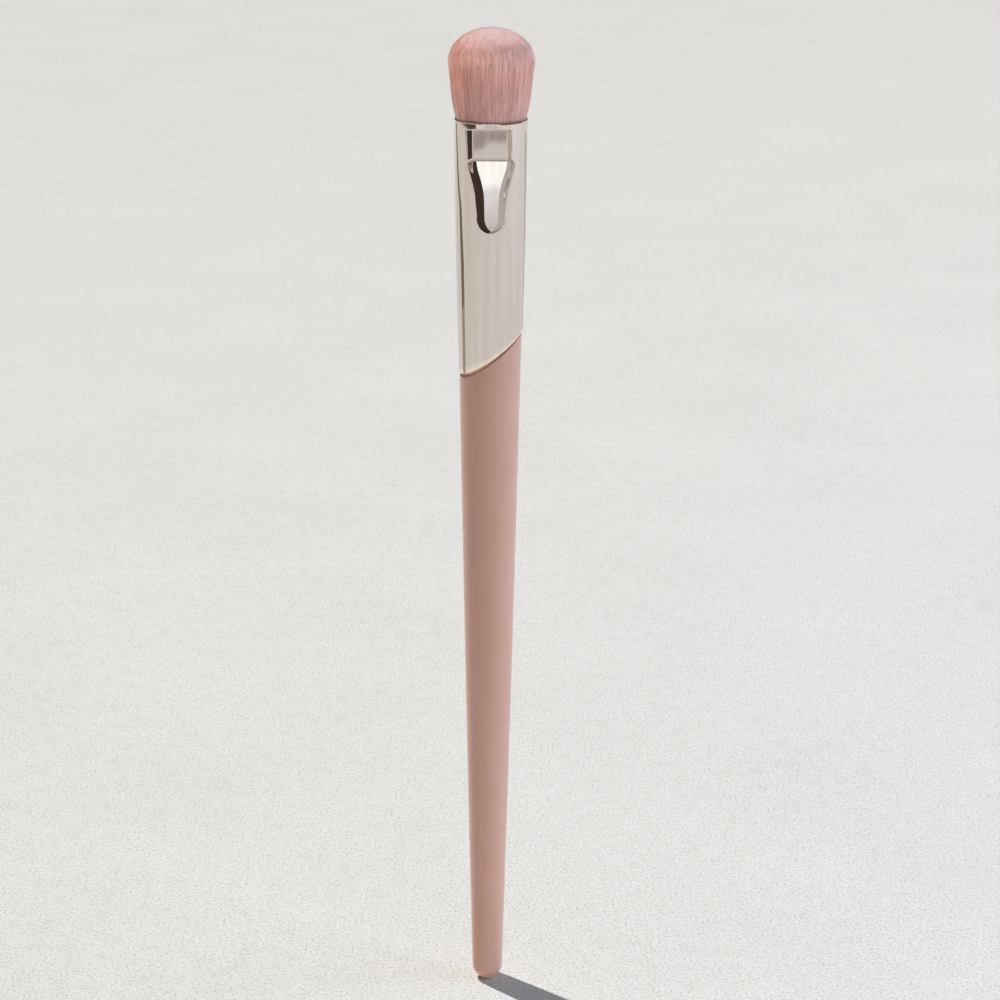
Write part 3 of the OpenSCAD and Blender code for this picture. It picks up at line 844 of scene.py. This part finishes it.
def addLamp(name, kind, place, aimHeight):
    # a lamp turned to a height on the middle of the brush; reflections don't show it
    lamp = bpy.data.objects.new(name, bpy.data.lights.new(name, kind))
    lamp.location = Vector(place) * mm
    lamp.rotation_euler = (lamp.location - Vector((0, 0, aimHeight * mm))).to_track_quat("Z", "Y").to_euler()
    lamp.visible_glossy = False
    bpy.context.scene.collection.objects.link(lamp)
    return lamp


half = studio["floorHalf"] * mm
floorCorners = [(-half, -half, 0), (half, -half, 0), (half, half, 0), (-half, half, 0)]
floorMesh = bpy.data.meshes.new("floor")
floorMesh.from_pydata(floorCorners, [], [(0, 1, 2, 3)])
floorMesh.materials.append(paleConcrete())
floor = bpy.data.objects.new("floor", floorMesh)
bpy.context.scene.collection.objects.link(floor)

# cards named for what their reflections draw on the ferrule
firstLayer, secondLayer, thirdLayer = studio["cardLayers"]
lipFar, cardFar, cardTurns = studio["lipFar"], studio["cardFar"], studio["cardTurns"]
glowCard("darkSideCard", lying([
    (-100, 465), (-100, 525), (-108, 660), (-136, 900), (-144, 900), (-121, 660), (-115, 525), (-115, 465),
], firstLayer), "#827868")
glowCard("paleSideCard", lying([(-102, 330), (-100, 465), (-115, 465), (-116, 330)], firstLayer), "#A69D90")
glowCard("faintSideCard", lying([
    (158, 430), (150, 520), (140, 660), (133, 870), (142, 870), (150, 660), (160, 520), (172, 430),
], firstLayer), "#B4ADA8")
glowCard("frontCard", upright(-15, 15, 920, 800), "#FFFFFF", [
    (0.0, "#BCBBBD"), (0.135, "#C7C7CB"), (0.235, "#D1D4D8"), (0.29, "#D2D9DF"), (0.35, "#F4FDFF"),
    (1.0, "#F2FBFF"),
], strength=1.45)
glowCard("panelShadowCard", lying([
    (60, 827), (30, 827), (5, 827), (1.2, 827), (0.6, 848), (0.33, 848), (0.15, 851), (0.02, 846),
    (-0.1, 853), (-0.32, 848), (-0.54, 831), (-0.75, 827), (-1.0, 826), (-1.3, 848), (-5, 848), (-30, 848),
    (-60, 848), (-60, 885), (-30, 885), (-5, 885), (5, 885), (30, 885), (60, 885),
], firstLayer), "#AEA6A6")
lipLight = arc(-46, 46, 888, secondLayer) + arc(46, 112, 892, secondLayer)
lipLight += arc(112, 16, lipFar, secondLayer) + arc(15, -15, 912, secondLayer)
lipLight += arc(-16, -46, lipFar, secondLayer)
glowCard("lipLightCard", lipLight, "#FFF0EE")
lipDark = lying([
    (-106, 897), (-102, 894), (-96, 891), (-89, 889), (-79, 884), (-73, 876), (-66, 875), (-60, 875),
    (-53, 877), (-46, 879),
], thirdLayer)
glowCard("lipDarkCard", lipDark + arc(-46, -106, lipFar, thirdLayer), "#3A2C28")
for side, colour in ((-1, "#C4C3C5"), (1, "#463A34")):      # grey on the left, dark on the right
    turns = [side * turn for turn in cardTurns]
    first, last = turns[0], turns[-1]
    sideFloor = arc(first, last, lipFar, firstLayer) + arc(last, first, cardFar, firstLayer)
    glowCard("sideFloorCard", sideFloor, colour)
    for a, b in zip(turns, turns[1:]):
        glowCard("sideCard", upright(a, b, cardFar, studio["cardHeight"]), colour)

softboxPlace = polar(studio["softboxTurn"], studio["softboxFar"], studio["softboxHeight"])
softbox = addLamp("softbox", "AREA", softboxPlace, studio["softboxAim"]).data
softbox.shape = "RECTANGLE"
softbox.size, softbox.size_y = (length * mm for length in studio["softboxSize"])
softbox.energy, softbox.color = studio["softboxPower"], linear(studio["softboxColour"])[:3]

for name in ("lowFill", "headFill"):
    power, cone, size, place, aimHeight = studio[name]
    fill = addLamp(name, "SPOT", polar(*place), aimHeight).data
    fill.energy, fill.spot_size, fill.spot_blend = power, math.radians(cone), 1.0
    fill.shadow_soft_size = size * mm

sunData = bpy.data.lights.new("sun", "SUN")
sunData.energy, sunData.angle = studio["sunStrength"], math.radians(studio["sunSize"])
sunData.color = studio["sunColour"]
sun = bpy.data.objects.new("sun", sunData)
turn, lift = math.radians(studio["sunTurn"]), math.radians(studio["sunHeight"])
toSun = Vector((-math.sin(turn) * math.cos(lift), math.cos(turn) * math.cos(lift), math.sin(lift)))
sun.rotation_euler = toSun.to_track_quat("Z", "Y").to_euler()
bpy.context.scene.collection.objects.link(sun)

world = bpy.data.worlds.new("studioWorld")
bpy.context.scene.world = world
world.use_nodes = True
tree = world.node_tree
tree.nodes.clear()
direction = addNode(tree, "SeparateXYZ", {}, {"Vector": addNode(tree, "TexCoord").outputs["Generated"]})
across = addNode(tree, "MapRange", {"From Min": -1.0, "From Max": 1.0, "To Min": studio["skyLeft"],
                                    "To Max": studio["skyRight"]}, {"Value": direction.outputs["X"]})
sky = addNode(tree, "Background", {"Color": studio["skyColour"]}, {"Strength": across.outputs["Result"]})
backdrop = addNode(tree, "Background", {"Color": linear(studio["backdrop"]), "Strength": 1.0})
seen = addNode(tree, "LightPath")
mixedSky = addNode(tree, "MixShader", {}, {0: seen.outputs["Is Camera Ray"], 1: sky.outputs["Background"],
                                           2: backdrop.outputs["Background"]})
addNode(tree, "OutputWorld", {}, {"Surface": mixedSky.outputs["Shader"]})

cameraData = bpy.data.cameras.new("camera")
cameraData.lens, cameraData.sensor_width = camera["lens"], camera["sensor"]
cameraData.clip_start, cameraData.clip_end = camera["near"] * mm, camera["far"] * mm
photoCamera = bpy.data.objects.new("camera", cameraData)
photoCamera.matrix_world = (Matrix.Translation(Vector(camera["place"]) * mm)
                            @ Matrix.Rotation(math.radians(90 - camera["pitch"]), 4, "X")
                            @ Matrix.Rotation(math.radians(camera["roll"]), 4, "Z"))
bpy.context.scene.collection.objects.link(photoCamera)
bpy.context.scene.camera = photoCamera
bpy.context.scene.view_settings.view_transform = "Standard"
print("stage set")
